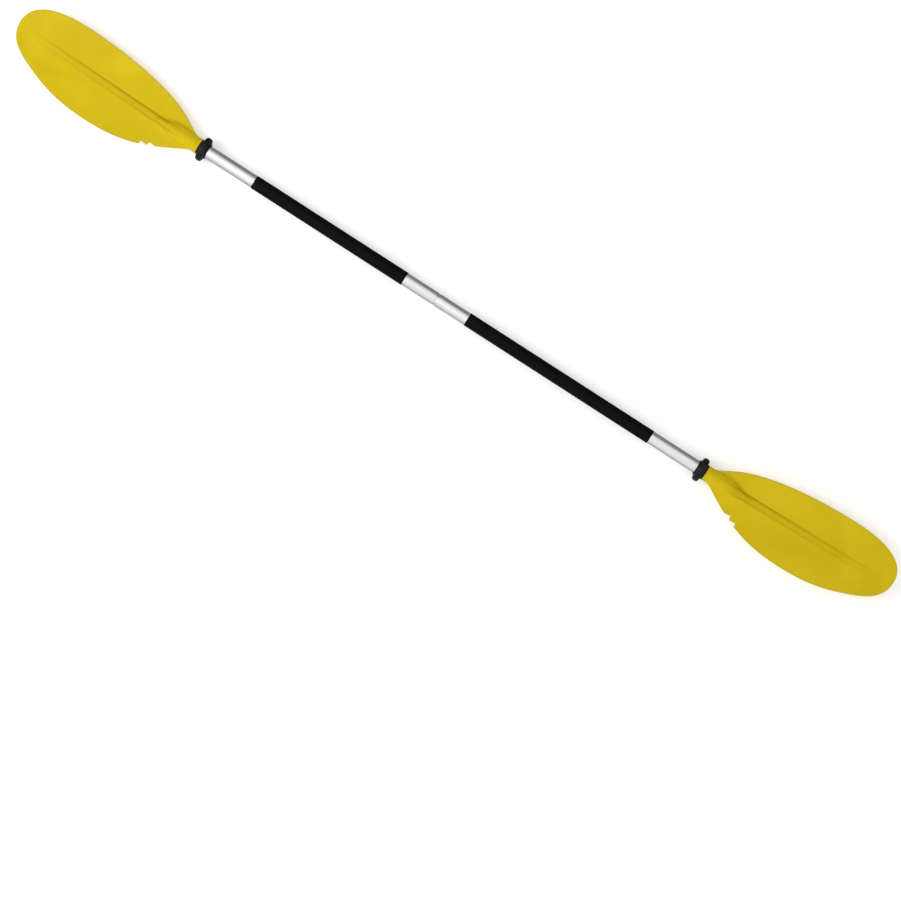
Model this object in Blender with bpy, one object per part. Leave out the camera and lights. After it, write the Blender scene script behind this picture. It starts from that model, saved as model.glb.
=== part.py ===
"""Two-piece kayak paddle: two moulded blades on an aluminium shaft that comes apart in the middle.

Frame: +X along the shaft towards the right (female) half, +Z out of the blades' power faces, origin on
the shaft's axis half way between the tips. Metres.
"""

import math

import bmesh
import bpy
import numpy as np
from mathutils import Matrix

# Overall sizes
LENGTH = 2.200
BLADE_LENGTH = 0.4605  # from the socket's mouth to the tip
BLADE_HALF_WIDTH = 0.0845

# Clearances
SEAT_GAP = 0.0003  # between faces that touch on the real paddle
SLIDE_GAP = 0.0003  # spigot in the female tube, button in its holes

# Shaft
TUBE_DIAMETER = 0.0286
TUBE_WALL = 0.0010
SEAM_X = -0.038  # where the female tube ends
SPIGOT_LENGTH = 0.068
SWAGE_TAPER = 0.006
INSERTION = 0.055  # tube inside the blade's socket
TUBE_SIDES = 36

# Blade
SOCKET_WALL = 0.0023
SOCKET_FLOOR = 0.003
NECK_TAPER = 0.070  # the socket tapers into the spine over this length
MOUTH_BEAD = 0.0006
MOUTH_BEAD_LENGTH = 0.004
PLATE_START = 0.0085  # the plate grows out of the socket this far from the mouth
PLATE_EDGE = 0.0030
PLATE_MIDDLE = 0.0046
TIP_OFFSET = 0.018
TIP_RUN = 0.030  # the spine ends this far short of the tip
ROCKER = 0.014  # rise of the tip above the shaft's axis
CUP = 0.006  # rise of the edges above the spine at full width
SPINE_AIM = 0.011  # the spine runs straight from the shaft's axis towards this offset at the tip
SPINE_HALF_WIDTH = 0.0110
SPINE_END_HALF_WIDTH = 0.0050
SPINE_HEIGHT = 0.0065
KEEL_HEIGHT = 0.0060
KEEL_LENGTH = 0.230
NOTCH_START = 0.080
NOTCH_PITCH = 0.0165
NOTCH_RISE = 0.0020
NOTCH_COUNT = 2
PLATE_STATIONS = 32
PLATE_FLANK_COLUMNS = 4
TAPER_STEPS = 8

# Grips and drip rings
GRIP_WALL = 0.0005
GRIP_ROUND = 0.0003
GRIP_TO_MOUTH = 0.1392
LEFT_GRIP_TO_SEAM = 0.082
RIGHT_GRIP_TO_SEAM = 0.076
RING_RADIUS = 0.0272
RING_LENGTH = 0.022
RING_DISC = 0.015
RING_LAND = 0.005
RING_COLLAR_WALL = 0.0024
RING_SOFTEN = 0.0008
RING_SIDES = 20

# Snap button and its spring
BUTTON_RADIUS = 0.0035
BUTTON_TO_END = 0.032
BUTTON_PROUD = 0.0025
BUTTON_DOME = 0.0020
LOCK_HOLE_ANGLES = (-60, 0, 60)
CLIP_WIDTH = 0.0070
CLIP_THICKNESS = 0.0006
CLIP_BEND_RADIUS = 0.0030
CLIP_FLAT = 0.012
CLIP_RUN = 0.020

# Foam bungs
BUNG_LENGTH = 0.060
BUNG_CHAMFER = 0.0015
BUNG_TO_SPIGOT = 0.030

# Blind rivets
RIVET_RADIUS = 0.0024
RIVET_HEAD_RADIUS = 0.0047
RIVET_HEAD = 0.0014
RIVET_BULB_RADIUS = 0.0034
RIVET_BULB = 0.0026
RIVET_TO_MOUTH = (0.018, 0.040)
MANDREL_RADIUS = 0.0012
MANDREL_HEAD_RADIUS = 0.0022
MANDREL_HEAD = 0.0018
SMALL_SIDES = 16

# Worked out from the sizes above
TUBE_RADIUS = TUBE_DIAMETER / 2
TUBE_BORE = TUBE_RADIUS - TUBE_WALL
SPIGOT_RADIUS = TUBE_BORE - SLIDE_GAP
SPIGOT_BORE = SPIGOT_RADIUS - TUBE_WALL
MOUTH_X = LENGTH / 2 - BLADE_LENGTH
TUBE_END_X = MOUTH_X + INSERTION
SPIGOT_END_X = SEAM_X + SPIGOT_LENGTH
BUTTON_X = SPIGOT_END_X - BUTTON_TO_END
SOCKET_BORE = TUBE_RADIUS + SEAT_GAP
SOCKET_RADIUS = SOCKET_BORE + SOCKET_WALL
GRIP_BORE = TUBE_RADIUS + SEAT_GAP
GRIP_RADIUS = GRIP_BORE + GRIP_WALL
GRIP_OUTER_X = MOUTH_X - GRIP_TO_MOUTH
RING_BORE = TUBE_RADIUS + SEAT_GAP

YELLOW = ("blade_plastic", (0.72, 0.55, 0.02), 0.30, 0.0)
SILVER = ("shaft_aluminium", (0.80, 0.81, 0.83), 0.32, 1.0)
BLACK_FOAM = ("grip_foam", (0.012, 0.012, 0.013), 0.75, 0.0)
BLACK_RUBBER = ("ring_rubber", (0.010, 0.010, 0.010), 0.60, 0.0)
STEEL = ("steel", (0.45, 0.43, 0.40), 0.30, 1.0)
RIVET_METAL = ("rivet_aluminium", (0.75, 0.75, 0.76), 0.35, 1.0)
WHITE_FOAM = ("bung_foam", (0.80, 0.80, 0.78), 0.90, 0.0)


def clear_scene():
    for item in list(bpy.data.objects):
        bpy.data.objects.remove(item)


def material(look):
    name, colour, roughness, metallic = look
    if name in bpy.data.materials:
        return bpy.data.materials[name]
    made = bpy.data.materials.new(name)
    made.use_nodes = True
    shader = made.node_tree.nodes["Principled BSDF"]
    shader.inputs["Base Color"].default_value = (*colour, 1)
    shader.inputs["Roughness"].default_value = roughness
    shader.inputs["Metallic"].default_value = metallic
    return made


def add(name, bm, look, parent, location=(0, 0, 0), turn_y=0.0):
    """Makes a named object of a closed bmesh, with its faces pointing out."""
    bmesh.ops.remove_doubles(bm, verts=bm.verts, dist=1e-7)
    bmesh.ops.recalc_face_normals(bm, faces=bm.faces)
    mesh = bpy.data.meshes.new(name)
    bm.to_mesh(mesh)
    bm.free()
    mesh.shade_smooth()
    mesh.set_sharp_from_angle(angle=math.radians(35))
    item = bpy.data.objects.new(name, mesh)
    item.data.materials.append(material(look))
    bpy.context.collection.objects.link(item)
    item.parent = parent
    item.location = location
    item.rotation_euler = (0, turn_y, 0)
    return item


def add_frame(name, location=(0, 0, 0), parent=None):
    frame = bpy.data.objects.new(name, None)
    frame.location = location
    frame.parent = parent
    bpy.context.collection.objects.link(frame)
    return frame


def turned(profile, sides):
    """A closed profile of (x, radius) points turned about the X axis; facets face -Z, +Z, -Y and +Y.

    A radius is the distance to the middle of a facet, and a radius of 0 makes a pole."""
    bm = bmesh.new()
    stretch = 1 / math.cos(math.pi / sides)
    rows = []
    for x, radius in profile:
        if radius == 0:
            rows.append([bm.verts.new((x, 0, 0))] * sides)
            continue
        angles = [2 * math.pi * (k + 0.5) / sides for k in range(sides)]
        across = radius * stretch
        rows.append([bm.verts.new((x, across * math.cos(a), across * math.sin(a))) for a in angles])
    for i, row in enumerate(rows):
        following = rows[(i + 1) % len(rows)]
        for k in range(sides):
            after = (k + 1) % sides
            corners = dict.fromkeys((row[k], following[k], following[after], row[after]))
            if len(corners) > 2:
                bm.faces.new(list(corners))
    return bm


def rod(start, end, radius, sides):
    return turned([(start, 0), (start, radius), (end, radius), (end, 0)], sides)


def pipe(start, end, bore, radius, sides):
    return turned([(start, bore), (start, radius), (end, radius), (end, bore)], sides)


def prism(outline, low, high, place):
    """Extrudes a closed outline of 2-D points; place(u, v, w) turns them into 3-D points."""
    bm = bmesh.new()
    ends = [[bm.verts.new(place(u, v, w)) for u, v in outline] for w in (low, high)]
    for end in ends:
        bm.faces.new(end)
    for k in range(len(outline)):
        after = (k + 1) % len(outline)
        bm.faces.new((ends[0][k], ends[0][after], ends[1][after], ends[1][k]))
    return bm


def combine(item, operation, name, bm, parent, location=(0, 0, 0)):
    """Adds a live Boolean of a hidden helper solid to item."""
    bmesh.ops.recalc_face_normals(bm, faces=bm.faces)
    mesh = bpy.data.meshes.new(name)
    bm.to_mesh(mesh)
    bm.free()
    helper = bpy.data.objects.new(name, mesh)
    bpy.context.collection.objects.link(helper)
    helper.parent = parent
    helper.location = location
    helper.hide_render = True
    helper.display_type = "WIRE"
    modifier = item.modifiers.new(name, "BOOLEAN")
    modifier.operation = operation
    modifier.solver = "EXACT"
    modifier.object = helper


# Blade


def bezier_edge(points, steps=24):
    """Samples a run of cubic segments; points are anchor, handle, handle, anchor, and so on."""
    samples = []
    for k in range(0, len(points) - 1, 3):
        a, b, c, d = (np.array(p) for p in points[k : k + 4])
        for t in np.linspace(0, 1, steps):
            s = 1 - t
            samples.append(s**3 * a + 3 * s * s * t * b + 3 * s * t * t * c + t**3 * d)
    return np.array(samples)


def blade_edges():
    """Both edges as (distance from the mouth, distance from the shaft's axis).

    The shape points are shares of the plate's length and of its width beyond the neck, so the neck
    always grows out of the socket."""
    neck = SOCKET_RADIUS - 0.0012
    tip = (TIP_OFFSET - neck) / (BLADE_HALF_WIDTH - neck)
    far_tip = (-TIP_OFFSET - neck) / (BLADE_HALF_WIDTH - neck)
    throat = [(0, 0), (0.027, 0.022), (0.071, 0.217), (0.115, 0.366)]
    upper = throat + [(0.248, 0.797), (0.491, 1), (0.712, 1), (0.840, 1), (1, 0.830), (1, tip)]
    lower = throat + [(0.237, 0.790), (0.336, 1), (0.502, 1), (0.624, 1), (0.712, 0.891), (0.801, 0.674)]
    lower += [(0.905, 0.420), (1, 0.180), (1, far_tip)]
    edges = []
    for points in (upper, lower):
        edge = bezier_edge(points)
        along = PLATE_START + edge[:, 0] * (BLADE_LENGTH - PLATE_START)
        edges.append((along, neck + edge[:, 1] * (BLADE_HALF_WIDTH - neck)))
    return edges


def spine_line(d):
    """Where the spine's centre line lies across the blade; past the spine's end it turns to the tip."""
    share = max(0.0, d - INSERTION) / (BLADE_LENGTH - INSERTION)
    past = max(0.0, d - (BLADE_LENGTH - TIP_RUN)) / TIP_RUN
    return SPINE_AIM * share + (TIP_OFFSET - SPINE_AIM) * past**2


def plate_columns(d, upper, lower):
    """Places across the blade at one station, from the lower edge to the upper one."""
    centre = spine_line(d)
    past_socket = (d - PLATE_START) / (BLADE_LENGTH - TIP_RUN - PLATE_START)
    half = SPINE_HALF_WIDTH + (SPINE_END_HALF_WIDTH - SPINE_HALF_WIDTH) * min(1.0, past_socket)
    half = min(half, 0.45 * (upper - centre), 0.45 * (centre + lower))
    left = np.linspace(-lower, centre - half, PLATE_FLANK_COLUMNS + 1)[:-1]
    right = np.linspace(centre + half, upper, PLATE_FLANK_COLUMNS + 1)[1:]
    return [*left, *np.linspace(centre - half, centre + half, 5), *right], centre, half


def plate_heights(d, y, centre, half):
    """Top and bottom of the plate at one point, with the spine on top and a shorter keel below."""
    past_socket = max(0.0, d - INSERTION) / (BLADE_LENGTH - INSERTION)
    middle = ROCKER * past_socket**2 + CUP * (y / BLADE_HALF_WIDTH) ** 2 * min(1.0, 2.5 * past_socket)
    edge_share = min(1.0, abs(y) / BLADE_HALF_WIDTH)
    thick = PLATE_MIDDLE + (PLATE_EDGE - PLATE_MIDDLE) * edge_share
    ridge = 1 - ((y - centre) / half) ** 2 if half > 1e-6 else 0.0
    ridge = max(0.0, ridge)
    spine_run = max(0.0, d - INSERTION) / (BLADE_LENGTH - TIP_RUN - INSERTION)
    keel_run = max(0.0, d - INSERTION) / KEEL_LENGTH
    spine = SPINE_HEIGHT * max(0.0, 1 - spine_run) * ridge
    keel = KEEL_HEIGHT * max(0.0, 1 - keel_run) * ridge
    return middle + thick / 2 + spine, middle - thick / 2 - keel


def plate_mesh(side):
    (upper_d, upper_y), (lower_d, lower_y) = blade_edges()
    bm = bmesh.new()
    tops, bottoms = [], []
    for k in range(PLATE_STATIONS + 1):
        share = (1 - math.cos(math.pi * k / PLATE_STATIONS)) / 2
        d = PLATE_START + share * (BLADE_LENGTH - PLATE_START)
        upper = float(np.interp(d, upper_d, upper_y))
        lower = float(np.interp(d, lower_d, lower_y))
        if k == PLATE_STATIONS:
            high, low = plate_heights(d, TIP_OFFSET, TIP_OFFSET, 0.0)
            columns = 2 * PLATE_FLANK_COLUMNS + 5
            tops.append([bm.verts.new((side * d, TIP_OFFSET, high))] * columns)
            bottoms.append([bm.verts.new((side * d, TIP_OFFSET, low))] * columns)
            continue
        columns, centre, half = plate_columns(d, upper, lower)
        heights = [plate_heights(d, y, centre, half) for y in columns]
        tops.append([bm.verts.new((side * d, y, h[0])) for y, h in zip(columns, heights)])
        bottoms.append([bm.verts.new((side * d, y, h[1])) for y, h in zip(columns, heights)])

    def face(*corners):
        unique = list(dict.fromkeys(corners))
        if len(unique) > 2:
            bm.faces.new(unique)

    last = len(tops[0]) - 1
    for k in range(PLATE_STATIONS):
        for rows in (tops, bottoms):
            for j in range(last):
                face(rows[k][j], rows[k + 1][j], rows[k + 1][j + 1], rows[k][j + 1])
        for j in (0, last):
            face(tops[k][j], tops[k + 1][j], bottoms[k + 1][j], bottoms[k][j])
    for j in range(last):
        face(tops[0][j], tops[0][j + 1], bottoms[0][j + 1], bottoms[0][j])
    return bm


def socket_mesh(side):
    """The round neck: a beaded mouth, a plain run over the tube and a long taper into the spine."""
    taper_start = INSERTION + SEAT_GAP - SOCKET_FLOOR
    profile = [(0, 0), (0, SOCKET_RADIUS + MOUTH_BEAD), (MOUTH_BEAD_LENGTH, SOCKET_RADIUS + MOUTH_BEAD)]
    profile.append((MOUTH_BEAD_LENGTH + MOUTH_BEAD, SOCKET_RADIUS))
    for k in range(TAPER_STEPS + 1):
        share = k / TAPER_STEPS
        radius = SOCKET_RADIUS * (1 + math.cos(math.pi * share)) / 2 if k < TAPER_STEPS else 0
        profile.append((taper_start + NECK_TAPER * share, radius))
    return turned([(side * x, r) for x, r in profile], TUBE_SIDES)


def notch_outline(side, k):
    """One line notch: its floor runs along the shaft, and its steep side faces the neck."""
    _, (lower_d, lower_y) = blade_edges()
    start = NOTCH_START + k * NOTCH_PITCH
    end = start + NOTCH_PITCH - SEAT_GAP
    at_start = -float(np.interp(start, lower_d, lower_y))
    at_end = -float(np.interp(end, lower_d, lower_y))
    outside = at_end - NOTCH_PITCH / 4
    outline = [(start, at_start), (end, at_start + NOTCH_RISE), (end, outside), (start, outside)]
    return [(side * d, y) for d, y in outline]


def rivet_places(side):
    return [side * (MOUTH_X + along) for along in RIVET_TO_MOUTH]


def make_blade(name, side, half):
    mouth = (side * MOUTH_X, 0, 0)
    blade = add(name, plate_mesh(side), YELLOW, half, mouth)
    for k in range(NOTCH_COUNT):
        cut = prism(notch_outline(side, k), -0.05, 0.05, lambda u, v, w: (u, v, w))
        combine(blade, "DIFFERENCE", f"{name}_notch_{k + 1}", cut, half, mouth)
    combine(blade, "UNION", name + "_socket", socket_mesh(side), half, mouth)
    floor = INSERTION + SEAT_GAP
    bore = rod(-side * 0.005, side * floor, SOCKET_BORE, TUBE_SIDES)
    combine(blade, "DIFFERENCE", name + "_bore", bore, half, mouth)
    drill(blade, name + "_rivet_holes", rivet_places(side), RIVET_RADIUS + SEAT_GAP, half)


# Shaft


def drill(item, name, places, radius, parent, angles=(0,)):
    """Drills holes outwards from the shaft's axis; angles are counted about X from straight down."""
    holes = bmesh.new()
    for x in places:
        for angle in angles:
            hole = rod(SPIGOT_BORE - 0.002, SOCKET_RADIUS + 0.005, radius, SMALL_SIDES)
            turn = Matrix.Rotation(math.radians(angle), 4, "X") @ Matrix.Rotation(math.pi / 2, 4, "Y")
            hole.transform(Matrix.Translation((x, 0, 0)) @ turn)
            mesh = bpy.data.meshes.new("hole")
            hole.to_mesh(mesh)
            hole.free()
            holes.from_mesh(mesh)
            bpy.data.meshes.remove(mesh)
    combine(item, "DIFFERENCE", name, holes, parent)


def make_left_tube(half):
    shoulder = SEAM_X - SWAGE_TAPER
    profile = [(-TUBE_END_X, TUBE_BORE), (-TUBE_END_X, TUBE_RADIUS), (shoulder, TUBE_RADIUS)]
    profile += [(SEAM_X, SPIGOT_RADIUS), (SPIGOT_END_X, SPIGOT_RADIUS), (SPIGOT_END_X, SPIGOT_BORE)]
    profile += [(SEAM_X, SPIGOT_BORE), (shoulder, TUBE_BORE)]
    tube = add("left_tube", turned(profile, TUBE_SIDES), SILVER, half)
    drill(tube, "left_tube_button_hole", [BUTTON_X], BUTTON_RADIUS + SLIDE_GAP, half)
    drill(tube, "left_tube_rivet_holes", rivet_places(-1), RIVET_RADIUS + SEAT_GAP, half)


def make_right_tube(half):
    shape = pipe(SEAM_X, TUBE_END_X, TUBE_BORE, TUBE_RADIUS, TUBE_SIDES)
    tube = add("right_tube", shape, SILVER, half)
    radius = BUTTON_RADIUS + SLIDE_GAP
    drill(tube, "right_tube_lock_holes", [BUTTON_X], radius, half, LOCK_HOLE_ANGLES)
    drill(tube, "right_tube_rivet_holes", rivet_places(1), RIVET_RADIUS + SEAT_GAP, half)


def make_grip(name, start, end, half):
    ends = [(start, GRIP_BORE), (start, GRIP_RADIUS - GRIP_ROUND), (start + GRIP_ROUND, GRIP_RADIUS)]
    ends += [(end - GRIP_ROUND, GRIP_RADIUS), (end, GRIP_RADIUS - GRIP_ROUND), (end, GRIP_BORE)]
    add(name, turned(ends, TUBE_SIDES), BLACK_FOAM, half)


def make_ring(name, side, half):
    """A thick rubber disc with a short collar at each end; its rim has a narrow cylindrical land."""
    collar = RING_BORE + RING_COLLAR_WALL
    shoulder = (RING_LENGTH - RING_DISC) / 2
    bulge = (RING_DISC - RING_LAND) / 2
    rise = RING_RADIUS - collar
    end = [(0, RING_BORE), (0, collar - RING_SOFTEN), (RING_SOFTEN, collar)]
    end += [(shoulder, collar + 0.15 * rise), (shoulder + 0.15 * bulge, collar + 0.50 * rise)]
    end += [(shoulder + 0.50 * bulge, collar + 0.83 * rise), (shoulder + bulge, RING_RADIUS)]
    profile = end + [(RING_LENGTH - x, r) for x, r in reversed(end)]
    inner = side * (MOUTH_X - SEAT_GAP - RING_LENGTH)
    add(name, turned([(side * x, r) for x, r in profile], RING_SIDES), BLACK_RUBBER, half, (inner, 0, 0))


def make_bung(name, start, half):
    radius = TUBE_BORE - SEAT_GAP
    profile = [(0, 0), (0, radius - BUNG_CHAMFER), (BUNG_CHAMFER, radius)]
    profile += [(BUNG_LENGTH - x, r) for x, r in reversed(profile)]
    add(name, turned(profile, TUBE_SIDES), WHITE_FOAM, half, (start, 0, 0))


# Lock


def leaf_radius():
    """Distance from the axis to the clip's outer face, with its corners clear of the spigot's bore."""
    return math.sqrt((SPIGOT_BORE - SEAT_GAP) ** 2 - (CLIP_WIDTH / 2) ** 2) - SEAT_GAP / 3


def make_clip(half):
    """A bent leaf: two flat legs along the bore, sloping runs and a round bend between them."""
    leg = leaf_radius() - CLIP_THICKNESS / 2
    flat_end = -CLIP_FLAT / 2 - 0.002
    bend = flat_end - CLIP_RUN
    line = [(CLIP_FLAT / 2, -leg), (flat_end, -leg)]
    for k in range(7):
        turn = math.radians(-60 - 240 * k / 6)
        line.append((bend + CLIP_BEND_RADIUS * math.cos(turn), CLIP_BEND_RADIUS * math.sin(turn)))
    line += [(flat_end, leg), (CLIP_FLAT / 2, leg)]
    points = np.array(line)
    runs = np.diff(points, axis=0)
    runs /= np.linalg.norm(runs, axis=1)[:, None]
    before = np.vstack([runs[:1], runs])
    after = np.vstack([runs, runs[-1:]])
    normals = np.column_stack([-(before + after)[:, 1], (before + after)[:, 0]])
    normals /= np.linalg.norm(normals, axis=1)[:, None]
    spread = CLIP_THICKNESS / 2 / (normals * np.column_stack([-before[:, 1], before[:, 0]])).sum(axis=1)
    offset = normals * spread[:, None]
    outline = [*(points + offset), *(points - offset)[::-1]]
    shape = prism(outline, -CLIP_WIDTH / 2, CLIP_WIDTH / 2, lambda u, v, w: (u, w, v))
    add("spring_clip", shape, STEEL, half, (BUTTON_X, 0, 0))


def make_button(half):
    """A domed pin that stands on the clip; its frame lies on its line of travel."""
    foot = leaf_radius() + SEAT_GAP
    top = TUBE_RADIUS + BUTTON_PROUD
    profile = [(foot, 0), (foot, BUTTON_RADIUS)]
    for k in range(5):
        turn = math.pi / 2 * k / 4
        radius = BUTTON_RADIUS * math.cos(turn) if k < 4 else 0
        profile.append((top - BUTTON_DOME + BUTTON_DOME * math.sin(turn), radius))
    add("lock_button", turned(profile, SMALL_SIDES), STEEL, half, (BUTTON_X, 0, 0), math.pi / 2)


# Rivets


def make_rivet(number, side_name, x, half):
    """A blind rivet through the neck and the tube, and the mandrel left in it."""
    seat = SOCKET_RADIUS + SEAT_GAP
    top = seat + RIVET_HEAD
    bore = MANDREL_RADIUS + SEAT_GAP
    inside = math.sqrt(TUBE_BORE**2 - RIVET_BULB_RADIUS**2) - SEAT_GAP
    bottom = inside - RIVET_BULB
    body = [(bottom, bore), (bottom, RIVET_RADIUS), (bottom + 0.0006, RIVET_BULB_RADIUS)]
    body += [(inside - 0.0004, RIVET_BULB_RADIUS), (inside, RIVET_RADIUS), (seat, RIVET_RADIUS)]
    body += [(seat, RIVET_HEAD_RADIUS), (seat + RIVET_HEAD / 3, RIVET_HEAD_RADIUS)]
    body += [(top - 0.0002, RIVET_HEAD_RADIUS * 0.6), (top, bore + 0.0006), (top - 0.0002, bore)]
    add(f"{side_name}_rivet_{number}", turned(body, SMALL_SIDES), RIVET_METAL, half, (x, 0, 0), math.pi / 2)
    head = bottom - SEAT_GAP
    stem = [(head - MANDREL_HEAD, 0), (head - MANDREL_HEAD, MANDREL_HEAD_RADIUS * 0.6)]
    stem += [(head - MANDREL_HEAD / 2, MANDREL_HEAD_RADIUS), (head, MANDREL_HEAD_RADIUS)]
    stem += [(head, MANDREL_RADIUS), (top - 0.0007, MANDREL_RADIUS), (top - 0.0007, 0)]
    add(f"{side_name}_mandrel_{number}", turned(stem, SMALL_SIDES), STEEL, half, (x, 0, 0), math.pi / 2)


def main():
    clear_scene()
    right_half = add_frame("right_half")
    left_half = add_frame("left_half")  # on the shaft's axis, which it turns about and slides along
    make_blade("right_blade", 1, right_half)
    make_blade("left_blade", -1, left_half)
    make_right_tube(right_half)
    make_left_tube(left_half)
    make_grip("right_grip", SEAM_X + RIGHT_GRIP_TO_SEAM, GRIP_OUTER_X, right_half)
    make_grip("left_grip", -GRIP_OUTER_X, SEAM_X - LEFT_GRIP_TO_SEAM, left_half)
    make_ring("right_drip_ring", 1, right_half)
    make_ring("left_drip_ring", -1, left_half)
    make_bung("right_joint_bung", SPIGOT_END_X + BUNG_TO_SPIGOT, right_half)
    make_bung("left_joint_bung", SEAM_X - SWAGE_TAPER - BUNG_TO_SPIGOT - BUNG_LENGTH, left_half)
    make_clip(left_half)
    make_button(left_half)
    for side_name, side, half in (("right", 1, right_half), ("left", -1, left_half)):
        for k, x in enumerate(rivet_places(side)):
            make_rivet(k + 1, side_name, x, half)


main()
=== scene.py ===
import math

import bmesh
import bpy
import numpy as np
from mathutils import Matrix, Vector, kdtree


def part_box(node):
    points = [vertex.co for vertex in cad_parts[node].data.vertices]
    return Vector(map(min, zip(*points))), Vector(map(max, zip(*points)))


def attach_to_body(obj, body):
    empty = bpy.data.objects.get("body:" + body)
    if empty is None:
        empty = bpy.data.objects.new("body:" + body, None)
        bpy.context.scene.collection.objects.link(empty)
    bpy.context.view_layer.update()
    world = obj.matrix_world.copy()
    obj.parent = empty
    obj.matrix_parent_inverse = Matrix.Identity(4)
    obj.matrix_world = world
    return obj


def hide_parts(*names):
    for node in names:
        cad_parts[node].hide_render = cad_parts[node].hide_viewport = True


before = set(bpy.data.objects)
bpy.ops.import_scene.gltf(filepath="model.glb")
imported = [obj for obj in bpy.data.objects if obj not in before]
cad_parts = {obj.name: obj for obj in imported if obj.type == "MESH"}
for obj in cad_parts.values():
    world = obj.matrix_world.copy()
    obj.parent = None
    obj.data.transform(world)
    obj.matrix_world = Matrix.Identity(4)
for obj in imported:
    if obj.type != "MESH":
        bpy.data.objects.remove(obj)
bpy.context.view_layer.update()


# Camera

camera = {
    "lens": 94.0,
    "height": 5.0,
    "roll": 32.80,  # the shaft runs down to the right
    "overX": 0.1590,
    "overY": -0.2539,
}


def makeCamera():
    data = bpy.data.cameras.new("camera")
    data.lens = camera["lens"]
    data.sensor_width = 36
    data.clip_end = 100
    made = bpy.data.objects.new("camera", data)
    bpy.context.scene.collection.objects.link(made)
    made.location = (camera["overX"], camera["overY"], camera["height"])
    made.rotation_euler = (0, 0, math.radians(camera["roll"]))
    bpy.context.scene.camera = made


makeCamera()
print("camera ready")


# Node helpers

def newNode(tree, kind, inputs=None, **settings):
    made = tree.nodes.new(kind)
    for key, value in settings.items():
        setattr(made, key, value)
    for key, value in (inputs or {}).items():
        if isinstance(value, bpy.types.NodeSocket):
            tree.links.new(value, made.inputs[key])
        else:
            made.inputs[key].default_value = value
    return made


def newGroup(name, kind, inputs, outputs):
    tree = bpy.data.node_groups.new(name, kind)
    for direction, sockets in (("INPUT", inputs), ("OUTPUT", outputs)):
        for label, socketType, value in sockets:
            socket = tree.interface.new_socket(label, in_out=direction, socket_type=socketType)
            if value is not None:
                socket.default_value = value
    return tree, tree.nodes.new("NodeGroupInput").outputs, tree.nodes.new("NodeGroupOutput").inputs


def remap(tree, value, low, high, toLow, toHigh):
    made = newNode(tree, "ShaderNodeMapRange", {0: value, 1: low, 2: high, 3: toLow, 4: toHigh})
    return made.outputs[0]


def mixColour(tree, factor, a, b, blend="MIX"):
    made = newNode(tree, "ShaderNodeMix", {0: factor, 6: a, 7: b}, data_type="RGBA", blend_type=blend)
    return made.outputs[2]


# Shader groups

def makeGrainGroup():  # fine even grain of a moulded or foamed surface
    tree, given, result = newGroup(
        "grain", "ShaderNodeTree",
        [("Vector", "NodeSocketVector", None), ("Scale", "NodeSocketFloat", 800.0),
         ("Clump", "NodeSocketFloat", 0.3)],
        [("Height", "NodeSocketFloat", None)],
    )
    vector, scale = given["Vector"], given["Scale"]
    fine = newNode(tree, "ShaderNodeTexNoise", {"Vector": vector, "Scale": scale, "Detail": 3.0})
    wideScale = newNode(tree, "ShaderNodeMath", {0: scale, 1: 0.12}, operation="MULTIPLY").outputs[0]
    wide = newNode(tree, "ShaderNodeTexNoise", {"Vector": vector, "Scale": wideScale, "Detail": 2.0})
    mixed = newNode(tree, "ShaderNodeMix", {0: given["Clump"], 2: fine.outputs[0], 3: wide.outputs[0]})
    tree.links.new(mixed.outputs[0], result["Height"])
    return tree


def makeDrawnGroup():  # lines left along the shaft by drawing a tube or rolling a strip
    tree, given, result = newGroup(
        "drawnLines", "ShaderNodeTree",
        [("Vector", "NodeSocketVector", None), ("Along", "NodeSocketFloat", 6.0),
         ("Across", "NodeSocketFloat", 900.0)],
        [("Height", "NodeSocketFloat", None), ("Mask", "NodeSocketFloat", None)],
    )
    along, across = given["Along"], given["Across"]
    scale = newNode(tree, "ShaderNodeCombineXYZ", {0: along, 1: across, 2: across}).outputs[0]
    stretched = newNode(tree, "ShaderNodeVectorMath", {0: given["Vector"], 1: scale}, operation="MULTIPLY")
    lines = newNode(tree, "ShaderNodeTexNoise",
                    {"Vector": stretched.outputs[0], "Scale": 1.0, "Detail": 4.0})
    tree.links.new(lines.outputs[0], result["Height"])
    tree.links.new(remap(tree, lines.outputs[0], 0.35, 0.65, 0.0, 1.0), result["Mask"])
    return tree


def makeHandlingGroup():  # soft patches where hands and water have changed the gloss
    tree, given, result = newGroup(
        "handling", "ShaderNodeTree",
        [("Vector", "NodeSocketVector", None), ("Scale", "NodeSocketFloat", 14.0),
         ("Amount", "NodeSocketFloat", 0.5)],
        [("Mask", "NodeSocketFloat", None)],
    )
    cloud = newNode(tree, "ShaderNodeTexNoise",
                    {"Vector": given["Vector"], "Scale": given["Scale"], "Detail": 5.0, "Roughness": 0.6})
    patch = remap(tree, cloud.outputs[0], 0.42, 0.68, 0.0, 1.0)
    amount = newNode(tree, "ShaderNodeMath", {0: patch, 1: given["Amount"]}, operation="MULTIPLY")
    tree.links.new(amount.outputs[0], result["Mask"])
    return tree


grainGroup = makeGrainGroup()
drawnGroup = makeDrawnGroup()
handlingGroup = makeHandlingGroup()


def placeGroup(tree, group, **values):
    made = tree.nodes.new("ShaderNodeGroup")
    made.node_tree = group
    for key, value in values.items():
        if isinstance(value, bpy.types.NodeSocket):
            tree.links.new(value, made.inputs[key])
        else:
            made.inputs[key].default_value = value
    return made.outputs


def startMaterial(name, **fixed):
    made = bpy.data.materials.new(name)
    made.use_nodes = True
    tree = made.node_tree
    shader = tree.nodes["Principled BSDF"]
    for key, value in fixed.items():
        shader.inputs[key.replace("_", " ")].default_value = value
    coords = tree.nodes.new("ShaderNodeTexCoord").outputs["Object"]
    return made, tree, shader, coords


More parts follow.
